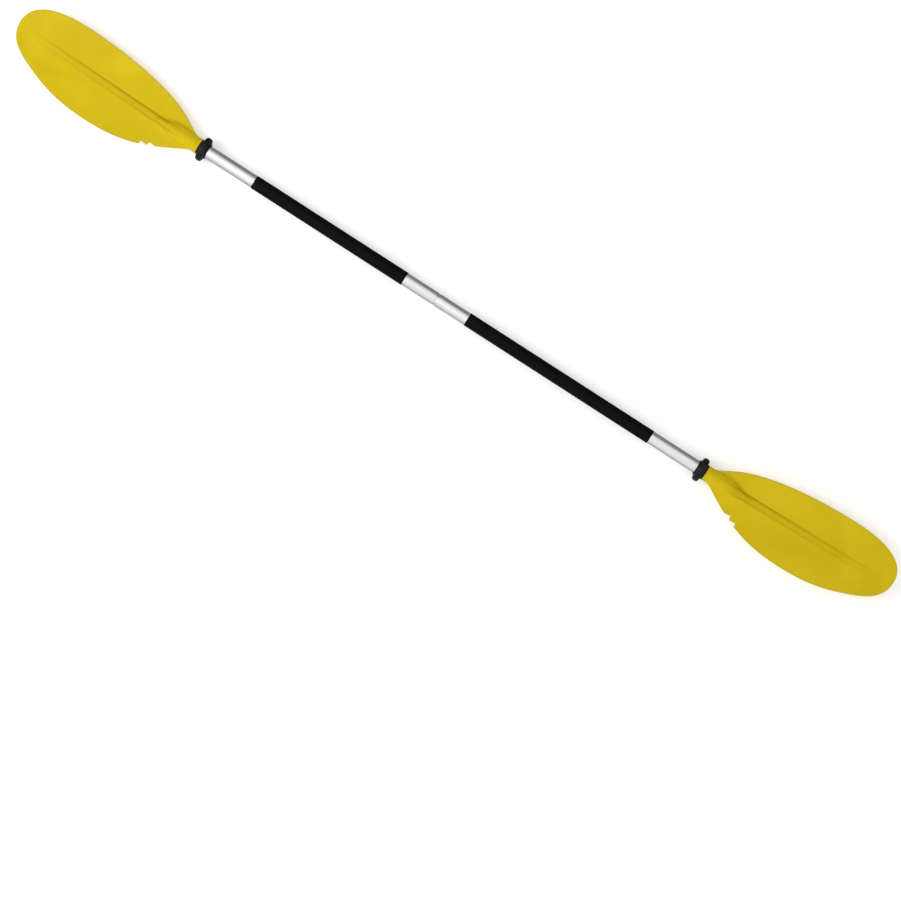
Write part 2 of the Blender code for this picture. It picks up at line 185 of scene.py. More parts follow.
def addBump(tree, shader, height, strength, distance):
    bump = newNode(tree, "ShaderNodeBump", {"Height": height, "Strength": strength, "Distance": distance})
    tree.links.new(bump.outputs[0], shader.inputs["Normal"])


# Materials

bladeLook = {
    "deep": (0.615, 0.450, 0.003, 1),
    "pale": (0.670, 0.505, 0.006, 1),
    # painted shade: a darker, greener colour along the blade's edge
    "rim": (0.420, 0.380, 0.020, 1),
    "creaseShade": (0.520, 0.345, 0.0, 1),  # painted shade along the creases beside the spine, and lighter over the spine itself
    "roughness": (0.24, 0.38),
    "specular": 0.10,
    "scatter": (0.6, 0.45, 0.08),
}


def makeBladePlastic():
    made, tree, shader, coords = startMaterial(
        "bladePlastic", IOR=1.49, Specular_IOR_Level=bladeLook["specular"],
        Subsurface_Weight=0.12, Subsurface_Radius=bladeLook["scatter"], Subsurface_Scale=0.01)
    flow = newNode(tree, "ShaderNodeTexNoise",
                   {"Vector": coords, "Scale": 7.0, "Detail": 3.0, "Distortion": 0.8})
    tint = remap(tree, flow.outputs[0], 0.35, 0.65, 0.0, 1.0)
    colour = mixColour(tree, tint, bladeLook["deep"], bladeLook["pale"])
    # painted shade: one attribute darkens the colour along the edge, the next along the creases beside the
    # spine
    rim = newNode(tree, "ShaderNodeAttribute", attribute_name="rim").outputs["Fac"]
    colour = mixColour(tree, rim, colour, bladeLook["rim"])
    creaseShade = newNode(tree, "ShaderNodeAttribute", attribute_name="creaseShade").outputs["Fac"]
    colour = mixColour(tree, creaseShade, colour, bladeLook["creaseShade"])
    tree.links.new(colour, shader.inputs["Base Color"])
    wear = placeGroup(tree, handlingGroup, Vector=coords, Scale=16.0, Amount=1.0)["Mask"]
    low, high = bladeLook["roughness"]
    tree.links.new(remap(tree, wear, 0.0, 1.0, low, high), shader.inputs["Roughness"])
    grain = placeGroup(tree, grainGroup, Vector=coords, Scale=900.0, Clump=0.35)["Height"]
    addBump(tree, shader, grain, strength=0.10, distance=0.0004)
    return made


aluminiumLook = {
    "dark": (0.78, 0.785, 0.80, 1),
    "bright": (0.88, 0.885, 0.90, 1),
    "roughness": (0.26, 0.36),
}


def makeAluminium():
    made, tree, shader, coords = startMaterial("shaftAluminium", Metallic=1.0)
    lines = placeGroup(tree, drawnGroup, Vector=coords, Along=5.0, Across=1100.0)
    colour = mixColour(tree, lines["Mask"], aluminiumLook["dark"], aluminiumLook["bright"])
    tree.links.new(colour, shader.inputs["Base Color"])
    wear = placeGroup(tree, handlingGroup, Vector=coords, Scale=22.0, Amount=1.0)["Mask"]
    low, high = aluminiumLook["roughness"]
    tree.links.new(remap(tree, wear, 0.0, 1.0, low, high), shader.inputs["Roughness"])
    addBump(tree, shader, lines["Height"], strength=0.12, distance=0.0002)
    return made


gripLook = {
    "deep": (0.0012, 0.0012, 0.0014, 1),
    "worn": (0.0030, 0.0030, 0.0033, 1),
    "roughness": (0.55, 0.70),
    "specular": 0.08,
}


def makeGripFoam():
    made, tree, shader, coords = startMaterial("gripFoam", Specular_IOR_Level=gripLook["specular"])
    wear = placeGroup(tree, handlingGroup, Vector=coords, Scale=30.0, Amount=1.0)["Mask"]
    colour = mixColour(tree, wear, gripLook["deep"], gripLook["worn"])
    tree.links.new(colour, shader.inputs["Base Color"])
    low, high = gripLook["roughness"]
    tree.links.new(remap(tree, wear, 0.0, 1.0, low, high), shader.inputs["Roughness"])
    cells = newNode(tree, "ShaderNodeTexVoronoi", {"Vector": coords, "Scale": 1300.0})
    grain = placeGroup(tree, grainGroup, Vector=coords, Scale=700.0, Clump=0.4)["Height"]
    height = newNode(tree, "ShaderNodeMath", {0: cells.outputs["Distance"], 1: grain}, operation="ADD")
    addBump(tree, shader, height.outputs[0], strength=0.35, distance=0.0003)
    return made


rubberLook = {
    "deep": (0.005, 0.005, 0.0055, 1),
    "worn": (0.009, 0.009, 0.0095, 1),
    "roughness": (0.38, 0.55),
    "specular": 0.2,
}


def makeRingRubber():
    made, tree, shader, coords = startMaterial("ringRubber", Specular_IOR_Level=rubberLook["specular"])
    wear = placeGroup(tree, handlingGroup, Vector=coords, Scale=60.0, Amount=1.0)["Mask"]
    colour = mixColour(tree, wear, rubberLook["deep"], rubberLook["worn"])
    tree.links.new(colour, shader.inputs["Base Color"])
    low, high = rubberLook["roughness"]
    tree.links.new(remap(tree, wear, 0.0, 1.0, low, high), shader.inputs["Roughness"])
    grain = placeGroup(tree, grainGroup, Vector=coords, Scale=1500.0, Clump=0.3)["Height"]
    addBump(tree, shader, grain, strength=0.15, distance=0.0002)
    return made


def makeSteel(name, dark, bright, roughness):
    made, tree, shader, coords = startMaterial(name, Metallic=1.0)
    lines = placeGroup(tree, drawnGroup, Vector=coords, Along=120.0, Across=2200.0)
    tree.links.new(mixColour(tree, lines["Mask"], dark, bright), shader.inputs["Base Color"])
    tree.links.new(remap(tree, lines["Mask"], 0.0, 1.0, *roughness), shader.inputs["Roughness"])
    addBump(tree, shader, lines["Height"], strength=0.10, distance=0.0001)
    return made


bungLook = {
    "deep": (0.62, 0.62, 0.60, 1),
    "pale": (0.85, 0.85, 0.82, 1),
    "roughness": (0.8, 0.95),
}


def makeBungFoam():
    made, tree, shader, coords = startMaterial("bungFoam")
    cells = newNode(tree, "ShaderNodeTexVoronoi", {"Vector": coords, "Scale": 900.0})
    colour = mixColour(tree, cells.outputs["Distance"], bungLook["deep"], bungLook["pale"])
    tree.links.new(colour, shader.inputs["Base Color"])
    grain = placeGroup(tree, grainGroup, Vector=coords, Scale=500.0, Clump=0.5)["Height"]
    low, high = bungLook["roughness"]
    tree.links.new(remap(tree, grain, 0.3, 0.7, low, high), shader.inputs["Roughness"])
    addBump(tree, shader, cells.outputs["Distance"], strength=0.4, distance=0.0005)
    return made


bladePlastic = makeBladePlastic()
aluminium = makeAluminium()
gripFoam = makeGripFoam()
ringRubber = makeRingRubber()
lockSteel = makeSteel("lockSteel", (0.30, 0.28, 0.25, 1), (0.44, 0.41, 0.37, 1), (0.22, 0.34))
rivetMetal = makeSteel("rivetMetal", (0.66, 0.66, 0.67, 1), (0.80, 0.80, 0.81, 1), (0.28, 0.40))
mandrelSteel = makeSteel("mandrelSteel", (0.34, 0.34, 0.35, 1), (0.48, 0.48, 0.49, 1), (0.30, 0.42))
bungFoam = makeBungFoam()
print("materials ready")


# Geometry Nodes

def gridIndex(tree, columns):
    index = newNode(tree, "GeometryNodeInputIndex").outputs[0]
    row = newNode(tree, "ShaderNodeMath", {0: index, 1: columns}, operation="DIVIDE").outputs[0]
    row = newNode(tree, "ShaderNodeMath", {0: row, 1: 0.0001}, operation="ADD").outputs[0]
    row = newNode(tree, "ShaderNodeMath", {0: row}, operation="FLOOR").outputs[0]
    whole = newNode(tree, "ShaderNodeMath", {0: row, 1: columns}, operation="MULTIPLY").outputs[0]
    return row, newNode(tree, "ShaderNodeMath", {0: index, 1: whole}, operation="SUBTRACT").outputs[0]


def finishTree(tree, geometry, material, result):
    smooth = newNode(tree, "GeometryNodeSetShadeSmooth", {0: geometry})
    painted = newNode(tree, "GeometryNodeSetMaterial", {"Geometry": smooth.outputs[0], "Material": material})
    real = newNode(tree, "GeometryNodeRealizeInstances", {0: painted.outputs[0]})
    tree.links.new(real.outputs[0], result[0])


def makeLatheTree():  # turns a row of (x, radius) points about the X axis
    tree, given, result = newGroup(
        "lathe", "GeometryNodeTree",
        [("Profile", "NodeSocketGeometry", None), ("Sides", "NodeSocketInt", 128),
         ("Material", "NodeSocketMaterial", None)],
        [("Geometry", "NodeSocketGeometry", None)],
    )
    count = newNode(tree, "GeometryNodeAttributeDomainSize", {0: given["Profile"]}).outputs["Point Count"]
    columns = newNode(tree, "ShaderNodeMath", {0: given["Sides"], 1: 1.0}, operation="ADD").outputs[0]
    grid = newNode(tree, "GeometryNodeMeshGrid", {"Vertices X": count, "Vertices Y": columns}).outputs[0]
    row, column = gridIndex(tree, columns)
    place = newNode(tree, "GeometryNodeInputPosition").outputs[0]
    sampled = newNode(tree, "GeometryNodeSampleIndex", data_type="FLOAT_VECTOR", domain="POINT")
    tree.links.new(given["Profile"], sampled.inputs["Geometry"])
    tree.links.new(place, sampled.inputs["Value"])
    tree.links.new(row, sampled.inputs["Index"])
    split = newNode(tree, "ShaderNodeSeparateXYZ", {0: sampled.outputs[0]}).outputs
    turn = newNode(tree, "ShaderNodeMath", {0: column, 1: math.tau}, operation="MULTIPLY").outputs[0]
    turn = newNode(tree, "ShaderNodeMath", {0: turn, 1: given["Sides"]}, operation="DIVIDE").outputs[0]
    cosine = newNode(tree, "ShaderNodeMath", {0: turn}, operation="COSINE").outputs[0]
    sine = newNode(tree, "ShaderNodeMath", {0: turn}, operation="SINE").outputs[0]
    y = newNode(tree, "ShaderNodeMath", {0: split[1], 1: cosine}, operation="MULTIPLY").outputs[0]
    z = newNode(tree, "ShaderNodeMath", {0: split[1], 1: sine}, operation="MULTIPLY").outputs[0]
    position = newNode(tree, "ShaderNodeCombineXYZ", {0: split[0], 1: y, 2: z}).outputs[0]
    moved = newNode(tree, "GeometryNodeSetPosition", {"Geometry": grid, "Position": position})
    moved = moved.outputs[0]
    merged = newNode(tree, "GeometryNodeMergeByDistance", {"Geometry": moved, "Distance": 2e-6})
    finishTree(tree, merged.outputs[0], given["Material"], result)
    return tree


def makeRowTree():  # sets copies of a small piece in a row along the shaft, standing out of its back
    tree, given, result = newGroup(
        "fastenerRow", "GeometryNodeTree",
        [("Piece", "NodeSocketGeometry", None), ("Count", "NodeSocketInt", 2),
         ("First", "NodeSocketFloat", 0.0), ("Pitch", "NodeSocketFloat", 0.02),
         ("Material", "NodeSocketMaterial", None)],
        [("Geometry", "NodeSocketGeometry", None)],
    )
    start = newNode(tree, "ShaderNodeCombineXYZ", {0: given["First"]}).outputs[0]
    step = newNode(tree, "ShaderNodeCombineXYZ", {0: given["Pitch"]}).outputs[0]
    row = newNode(tree, "GeometryNodeMeshLine",
                  {"Count": given["Count"], "Start Location": start, "Offset": step}).outputs[0]
    copies = newNode(tree, "GeometryNodeInstanceOnPoints",
                     {"Points": row, "Instance": given["Piece"], "Rotation": (0, math.pi / 2, 0)})
    finishTree(tree, copies.outputs[0], given["Material"], result)
    return tree


latheTree = makeLatheTree()
rowTree = makeRowTree()


metalSharp = 32  # edges bent by more degrees than this stay sharp


def tidyNormals(mesh, sharpAngle=metalSharp):
    bm = bmesh.new()
    bm.from_mesh(mesh)
    bmesh.ops.remove_doubles(bm, verts=bm.verts, dist=1e-7)
    bmesh.ops.dissolve_degenerate(bm, edges=bm.edges, dist=1e-8)
    bmesh.ops.recalc_face_normals(bm, faces=bm.faces)
    bm.to_mesh(mesh)
    bm.free()
    mesh.shade_smooth()
    mesh.set_sharp_from_angle(angle=math.radians(sharpAngle))


def plainMesh(made, name):
    graph = bpy.context.evaluated_depsgraph_get()
    mesh = bpy.data.meshes.new_from_object(made.evaluated_get(graph), depsgraph=graph)
    mesh.name = name
    made.modifiers.clear()
    made.data = mesh
    return made


def runTree(name, mesh, tree, **values):
    made = bpy.data.objects.new(name, mesh)
    bpy.context.scene.collection.objects.link(made)
    modifier = made.modifiers.new("build", "NODES")
    modifier.node_group = tree
    for socket in tree.interface.items_tree:
        if socket.in_out == "INPUT" and socket.name in values:
            modifier[socket.identifier] = values[socket.name]
    return plainMesh(made, name)


def lathe(name, profile, material, sides=128):
    mesh = bpy.data.meshes.new(name + "Profile")
    mesh.from_pydata([(x, r, 0) for x, r in profile], [], [])
    made = runTree(name, mesh, latheTree, Sides=sides, Material=material)
    tidyNormals(made.data)
    return made


def arc(cx, cy, radius, start, end, steps=6):  # part of a circle in a profile, angles in degrees
    angles = np.radians(np.linspace(start, end, steps + 1))
    return [(cx + radius * math.cos(a), cy + radius * math.sin(a)) for a in angles]


def cut(made, cutter):
    modifier = made.modifiers.new("cut", "BOOLEAN")
    modifier.operation = "DIFFERENCE"
    modifier.solver = "EXACT"
    modifier.object = cutter
    plainMesh(made, made.name)
    bpy.data.objects.remove(cutter)


def attach(made, body, slot, *nodes):
    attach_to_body(made, body)
    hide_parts(*nodes)


# Sizes read from the frame

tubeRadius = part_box("right_tube")[1].z
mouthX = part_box("right_blade")[0].x
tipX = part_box("right_blade")[1].x
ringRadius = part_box("right_drip_ring")[1].z
buttonX = (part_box("lock_button")[0].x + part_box("lock_button")[1].x) / 2


# Blades

blade = {
    "halfWidth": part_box("right_blade")[1].y,
    "length": tipX - mouthX,
    "socketRadius": tubeRadius + 0.0026,
    "socketDepth": 0.0553,
    "bead": 0.0006,
    "beadLength": 0.004,
    "beadFall": 0.0008,
    "taperStart": 0.0523,
    "taper": 0.070,
    "boreGap": 0.0003,
    "sinkSlope": 0.5,
    "sinkRun": 0.020,
    "neckInset": 0.0012,
    "neckBlend": 0.0012,
    "neckEnd": 0.03,
    "plateStart": 0.0085,
    "edge": 0.0030,
    "middle": 0.0046,
    "rimRound": 0.0015,
    "tipOffset": 0.018,
    "tipRun": 0.030,
    "rocker": 0.014,
    "cup": 0.006,
    "cupRise": 2.5,
    "spineAim": 0.011,
    "spineHalf": (0.0085, 0.0062),
    "spineSlope": 0.5,
    "spineHeight": 0.0032,
    # how dark the painted shade over the spine is, as a share of the painted shade in its creases
    "spineShade": 0.45,
    "creaseDepth": 0.0005,
    "creaseWidth": 0.0026,
    "creasePlace": 0.9,
    "creaseFrom": (0.040, 0.075, 0.120, 0.340),
    "creaseLevels": (0, 1, 1, 0.5, 0),
    "creaseStop": 0.035,
    "keelHeight": 0.0060,
    "keelLength": 0.230,
    "fillet": (0.020, 0.006),
    "filletRim": 0.010,
    # painted shade along the edge: where it starts past the neck, how fast it comes in, and how wide it is
    "edgeShadeStart": 0.026,
    "edgeShadeRun": 0.014,
    "edgeShadeWidth": 0.0025,
    "sharpAngle": 38,
    "notchStart": 0.080,
    "notchPitch": 0.0165,
    "notchRise": 0.0020,
    "notchSlope": 0.0012,
}

bladeGrid = {  # how the blade's mesh is spread, as shares of its width unless said
    "rimSteps": (0, 0.05, 0.2, 0.45, 0.8, 1.2, 1.7),  # millimetres in from the edge
    "rimFull": 0.012,  # metres of width from which the rim steps are full size
    "centreLimit": 0.35,
    "ridgeLimit": 0.14,
    "zoneReach": 0.006,  # metres beyond the socket
    "zoneLimit": 0.36,
    "zoneGap": 0.02,
    "flatColumns": 15,
    "zoneColumns": 25,
    "ridgeColumns": 17,
    "notchStep": 0.0004,
    "tipClose": 0.044,
}


def bezierEdge(points, steps=60):  # anchor, handle, handle, anchor and so on
    samples = []
    for k in range(0, len(points) - 1, 3):
        a, b, c, d = (np.array(p) for p in points[k:k + 4])
        t = np.linspace(0, 1, steps)[:, None]
        start, end = (1 - t) ** 3 * a, t ** 3 * d
        samples.append(start + 3 * (1 - t) ** 2 * t * b + 3 * (1 - t) * t * t * c + end)
    return np.vstack(samples)


def bladeEdges():
    neck = blade["socketRadius"] - blade["neckInset"]
    width = blade["halfWidth"] - neck
    tip = (blade["tipOffset"] - neck) / width
    farTip = (-blade["tipOffset"] - neck) / width
    throat = [(0, 0), (0.027, 0.022), (0.071, 0.217), (0.115, 0.366)]
    upper = throat + [(0.248, 0.797), (0.491, 1), (0.712, 1)]
    upper += [(0.840, 1), (1, 0.830), (1, tip)]
    lower = throat + [(0.237, 0.790), (0.336, 1), (0.502, 1)]
    lower += [(0.624, 1), (0.712, 0.891), (0.801, 0.674)]
    lower += [(0.905, 0.420), (1, 0.180), (1, farTip)]
    edges = []
    for points in (upper, lower):
        edge = bezierEdge(points)
        edges.append((blade["plateStart"] + edge[:, 0] * (blade["length"] - blade["plateStart"]),
                      neck + edge[:, 1] * width))
    return edges


def smoothMax(a, b, k):
    overlap = np.maximum(k - np.abs(a - b), 0) / np.maximum(k, 1e-9)
    return np.maximum(a, b) + overlap ** 2 * k / 4


def socketRadiusAt(d):
    radius = np.full_like(d, blade["socketRadius"])
    bead = blade["bead"] * np.clip((blade["beadLength"] - d) / blade["beadFall"] + 0.5, 0, 1)
    ease = blade["bead"] * (1 - np.sqrt(1 - (1 - np.clip(d / blade["bead"], 0, 1)) ** 2))
    radius += bead - ease
    share = np.clip((d - blade["taperStart"]) / blade["taper"], 0, 1)
    return radius * (1 + np.cos(math.pi * share)) / 2


def lowerWithNotches(d, edge):
    lower = np.interp(d, *edge)
    for k in range(2):
        start = blade["notchStart"] + k * blade["notchPitch"]
        end = start + blade["notchPitch"]
        floor = np.interp(start, *edge) - blade["notchRise"] * (d - start) / blade["notchPitch"]
        step = (d - end + blade["notchSlope"]) / blade["notchSlope"]
        floor += np.clip(step, 0, 1) * (np.interp(end, *edge) - floor)
        inside = (d > start) & (d < end)
        lower = np.where(inside, np.minimum(lower, floor), lower)
    return lower


def nearTip(end, steps):  # distances that draw together as they reach the tip
    return end - bladeGrid["tipClose"] * (1 - np.sin(np.linspace(0, math.pi / 2, steps)))


def bladeStations():  # distances from the mouth of the socket, close where the shape turns
    length = blade["length"]
    notches = blade["notchStart"]
    past = notches + 2 * blade["notchPitch"] + 0.001
    runs = [np.linspace(0, 0.0008, 6), np.linspace(0.0012, 0.006, 9)]
    runs.append(np.linspace(0.0068, notches - 0.001, 76))
    runs.append(np.arange(notches - 0.0006, past, bladeGrid["notchStep"]))
    runs.append(np.linspace(past + 0.0008, length - 0.045, 90))
    runs.append((nearTip(length, 40) - 0.00001)[:-1])
    return np.concatenate(runs)


def bladeColumns(d, upper, lower, centre, half):
    rims = np.array(bladeGrid["rimSteps"]) / 1000
    columns = []
    for k in range(len(d)):
        width = upper[k] + lower[k]
        rim = rims * min(1.0, width / bladeGrid["rimFull"])
        low, high = -lower[k], upper[k]
        limit = bladeGrid["centreLimit"] * width
        c = min(max(centre[k], low + limit), high - limit)
        ridge = min(half[k], bladeGrid["ridgeLimit"] * width)
        zone = min(blade["socketRadius"] + bladeGrid["zoneReach"], bladeGrid["zoneLimit"] * width)
        gap = bladeGrid["zoneGap"] * width
        zoneLow = max(c - zone, low + rim[-1] + gap)
        zoneHigh = min(c + zone, high - rim[-1] - gap)
        columns.append(np.concatenate([
            low + rim[:-1],
            np.linspace(low + rim[-1], zoneLow, bladeGrid["flatColumns"])[:-1],
            np.linspace(zoneLow, c - ridge, bladeGrid["zoneColumns"])[:-1],
            np.linspace(c - ridge, c + ridge, bladeGrid["ridgeColumns"])[:-1],
            np.linspace(c + ridge, zoneHigh, bladeGrid["zoneColumns"])[:-1],
            np.linspace(zoneHigh, high - rim[-1], bladeGrid["flatColumns"])[:-1],
            (high - rim)[::-1],
        ]))
    return np.array(columns)


def rimDistances(d, y, upper, lower):  # from each point to the nearest edge
    close = nearTip(d[-1], 3000)
    fine = np.concatenate([np.linspace(d[0], close[0], 8000), close])
    points = [(a, b) for a, b in zip(fine, np.interp(fine, d, upper))]
    points += [(a, -b) for a, b in zip(fine, np.interp(fine, d, lower))]
    across = np.linspace(-lower[-1], upper[-1], 60)
    points += [(blade["length"], b) for b in across]
    points = [p for p in points if p[0] > blade["plateStart"]]
    tree = kdtree.KDTree(len(points))
    for k, (a, b) in enumerate(points):
        tree.insert((a, b, 0), k)
    tree.balance()
    found = np.empty_like(y)
    for i in range(y.shape[0]):
        for j in range(y.shape[1]):
            found[i, j] = tree.find((d[i], y[i, j], 0))[2]
    found[:, 0] = 0
    found[:, -1] = 0
    return found


def bladeSurface():
    d = bladeStations()
    upperEdge, lowerEdge = bladeEdges()
    radius = socketRadiusAt(d)
    edges = []
    for edge in (np.interp(d, *upperEdge), lowerWithNotches(d, lowerEdge)):
        blended = smoothMax(edge, radius, blade["neckBlend"])
        edge = np.where(d < blade["neckEnd"], blended, edge)
        edges.append(np.where(d > blade["plateStart"], edge, radius))
    upper, lower = edges
    tipStart = blade["length"] - blade["tipRun"]
    pastSocket = np.clip(d - blade["socketDepth"], 0, None)
    share = pastSocket / (blade["length"] - blade["socketDepth"])
    spineRun = np.clip(pastSocket / (tipStart - blade["socketDepth"]), 0, 1)
    past = np.clip(d - tipStart, 0, None) / blade["tipRun"]
    centre = blade["spineAim"] * share + (blade["tipOffset"] - blade["spineAim"]) * past ** 2
    wide, narrow = blade["spineHalf"]
    half = wide + (narrow - wide) * spineRun
    y = bladeColumns(d, upper, lower, centre, half)
    rim = rimDistances(d, y, upper, lower)
    middle = blade["rocker"] * share[:, None] ** 2
    cupped = np.minimum(1, blade["cupRise"] * share)[:, None]
    middle = middle + blade["cup"] * (y / blade["halfWidth"]) ** 2 * cupped
    outward = np.minimum(1, np.abs(y) / blade["halfWidth"])
    thick = blade["middle"] + (blade["edge"] - blade["middle"]) * outward
    rounded = np.sqrt(1 - (1 - np.minimum(1, rim / blade["rimRound"])) ** 2)
    aside = np.abs(y - centre[:, None])
    ridge = np.clip((half[:, None] - aside) / (blade["spineSlope"] * half[:, None]), 0, 1)
    ridge = ridge * ridge * (3 - 2 * ridge)
    lines = np.exp(-((aside - blade["creasePlace"] * half[:, None]) / blade["creaseWidth"]) ** 2)
    places = blade["creaseFrom"] + (blade["length"] - blade["creaseStop"],)
    fade = np.interp(d, places, blade["creaseLevels"])[:, None]
    # painted shade mask: dark along the creases beside the spine, lighter over the spine between them
    creaseShade = fade * np.maximum(lines, blade["spineShade"] * (aside < half[:, None]))
    keelRun = pastSocket / blade["keelLength"]
    spine = blade["spineHeight"] * (1 - spineRun)[:, None] * ridge
    keel = blade["keelHeight"] * np.clip(1 - keelRun, 0, 1)[:, None] * ridge
    plateTop = middle + (thick / 2 + spine - blade["creaseDepth"] * lines * fade) * rounded
    plateBottom = -middle + (thick / 2 + keel) * rounded
    squared = radius[:, None] ** 2 - y ** 2
    beside = -2 * (np.abs(y) - radius[:, None])
    socket = np.where(squared > 0, np.sqrt(np.maximum(squared, 0)), beside)
    sinkStart = blade["taperStart"] + blade["taper"] - blade["sinkRun"]
    sink = blade["sinkSlope"] * np.clip(d - sinkStart, 0, None)
    socket = socket - sink[:, None]  # near the end of its taper the neck drops away inside the plate
    nearRim = np.clip(rim / blade["filletRim"], 0, 1)
    topSoft, bottomSoft = (fillet * nearRim for fillet in blade["fillet"])
    onlySocket = (d < blade["plateStart"])[:, None]
    top = np.where(onlySocket, socket, smoothMax(socket, plateTop, topSoft))
    bottom = -np.where(onlySocket, socket, smoothMax(socket, plateBottom, bottomSoft))
    flat = np.where(onlySocket, 0, middle)
    for z in (top, bottom):  # both faces meet along the edges
        z[:, 0] = flat[:, 0]
        z[:, -1] = flat[:, -1]
    return d, y, top, bottom, rim, creaseShade


def makeBlade(name, side, body, node):
    d, y, top, bottom, rim, creaseShade = bladeShape
    rows, columns = y.shape
    x = side * (mouthX + d)
    points = [(x[i], y[i, j], top[i, j]) for i in range(rows) for j in range(columns)]
    # painted shade along the blade's edge, starting past the neck
    pastNeck = np.clip((d - blade["edgeShadeStart"]) / blade["edgeShadeRun"], 0, 1)[:, None]
    edgeShade = np.clip(1 - rim / blade["edgeShadeWidth"], 0, 1) * pastNeck
    edgeShadeValues = list(edgeShade.ravel())
    creaseShadeValues = list(creaseShade.ravel())
    topIndex = np.arange(rows * columns).reshape(rows, columns)
    bottomIndex = topIndex.copy()
    inner = np.arange(rows * (columns - 2)).reshape(rows, columns - 2) + rows * columns
    bottomIndex[:, 1:-1] = inner
    points += [(x[i], y[i, j], bottom[i, j]) for i in range(rows) for j in range(1, columns - 1)]
    edgeShadeValues += list(edgeShade[:, 1:-1].ravel())
    tip = len(points)
    tipHeight = (top[-1, 0] + top[-1, -1]) / 2
    points.append((side * tipX, blade["tipOffset"], tipHeight))
    edgeShadeValues.append(1.0)
    faces = []
    for i in range(rows - 1):
        for j in range(columns - 1):
            a, b = topIndex[i:i + 2, j:j + 2], bottomIndex[i:i + 2, j:j + 2]
            faces.append((a[0, 0], a[1, 0], a[1, 1], a[0, 1]))
            faces.append((b[0, 0], b[0, 1], b[1, 1], b[1, 0]))
    ringTop, ringBottom = list(topIndex[-1]), list(bottomIndex[-1])
    for j in range(columns - 1):
        faces.append((ringTop[j], tip, ringTop[j + 1]))
        faces.append((ringBottom[j], ringBottom[j + 1], tip))
    mouth = list(topIndex[0]) + list(bottomIndex[0, 1:-1])[::-1]
    bore = tubeRadius + blade["boreGap"]
    rings = [mouth]
    for depth in (0.0, blade["socketDepth"]):
        start = len(points)
        for index in mouth:
            angle = math.atan2(points[index][2], points[index][1])
            points.append((side * (mouthX + depth), bore * math.cos(angle), bore * math.sin(angle)))
            edgeShadeValues.append(0.0)
        rings.append(list(range(start, start + len(mouth))))
    floor = len(points)
    points.append((side * (mouthX + blade["socketDepth"]), 0, 0))
    edgeShadeValues.append(0.0)
    for k in range(len(mouth)):
        after = (k + 1) % len(mouth)
        for a, b in zip(rings, rings[1:]):
            faces.append((a[k], a[after], b[after], b[k]))
        faces.append((rings[-1][k], rings[-1][after], floor))
    mesh = bpy.data.meshes.new(name)
    mesh.from_pydata(points, [], [tuple(int(v) for v in f) for f in faces])
    creaseShadeValues += [0.0] * (len(points) - len(creaseShadeValues))
    # both attributes carry painted shade into the material: along the edge and along the spine's creases
    for label, values in (("rim", edgeShadeValues), ("creaseShade", creaseShadeValues)):
        attribute = mesh.attributes.new(label, "FLOAT", "POINT")
        attribute.data.foreach_set("value", np.array(values, np.float32))
    tidyNormals(mesh, blade["sharpAngle"])
    mesh.materials.append(bladePlastic)
    made = bpy.data.objects.new(name, mesh)
    bpy.context.scene.collection.objects.link(made)
    attach(made, body, "blade_plastic", node)
    print(name, len(mesh.polygons), "faces")


bladeShape = bladeSurface()
makeBlade("leftBladeShell", -1, "left_half", "left_blade")
makeBlade("rightBladeShell", 1, "right_half", "right_blade")
print("blades ready")


# Shaft tubes

shaft = {
    "wall": 0.0010,
    "slide": 0.0003,
    "taper": 0.006,
    "seamX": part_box("right_tube")[0].x,
    "edge": 0.0003,
    "holeRadius": 0.0038,
    "holeChamfer": 0.0004,
    "cutterReach": 0.004,
    "sides": 160,
    "lockAngles": (-60, 0, 60),
}


def tubeCutter(x, angle):  # a hole with a deburred rim, drilled out of the tube's back
    radius, chamfer = shaft["holeRadius"], shaft["holeChamfer"]
    inner, outer = tubeRadius * 0.5, tubeRadius + shaft["cutterReach"]
    wide = radius + 2 * chamfer
    profile = [(inner, 0), (inner, radius), (tubeRadius - chamfer, radius)]
    profile += [(tubeRadius + chamfer, wide), (outer, wide), (outer, 0)]
    made = lathe("cutter", profile, aluminium, 48)
    turn = Matrix.Rotation(math.radians(angle), 4, "X") @ Matrix.Rotation(math.pi / 2, 4, "Y")
    made.data.transform(Matrix.Translation((x, 0, 0)) @ turn)
    return made


def softEnd(x, bore, radius, outward):  # the rounded end of a tube wall, from outside to inside
    e = shaft["edge"]
    if outward > 0:
        return arc(x - e, radius - e, e, 90, 0, 4) + arc(x - e, bore + e, e, 0, -90, 4)
    return arc(x + e, bore + e, e, 270, 180, 4) + arc(x + e, radius - e, e, 180, 90, 4)


def makeRightTube():
    bore = tubeRadius - shaft["wall"]
    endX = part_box("right_tube")[1].x
    profile = softEnd(shaft["seamX"], bore, tubeRadius, -1) + softEnd(endX, bore, tubeRadius, 1)
    made = lathe("femaleTube", profile + profile[:1], aluminium, shaft["sides"])
    for angle in shaft["lockAngles"]:
        cut(made, tubeCutter(buttonX, angle))
    made.data.set_sharp_from_angle(angle=math.radians(metalSharp))
    attach(made, "right_half", "shaft_aluminium", "right_tube")


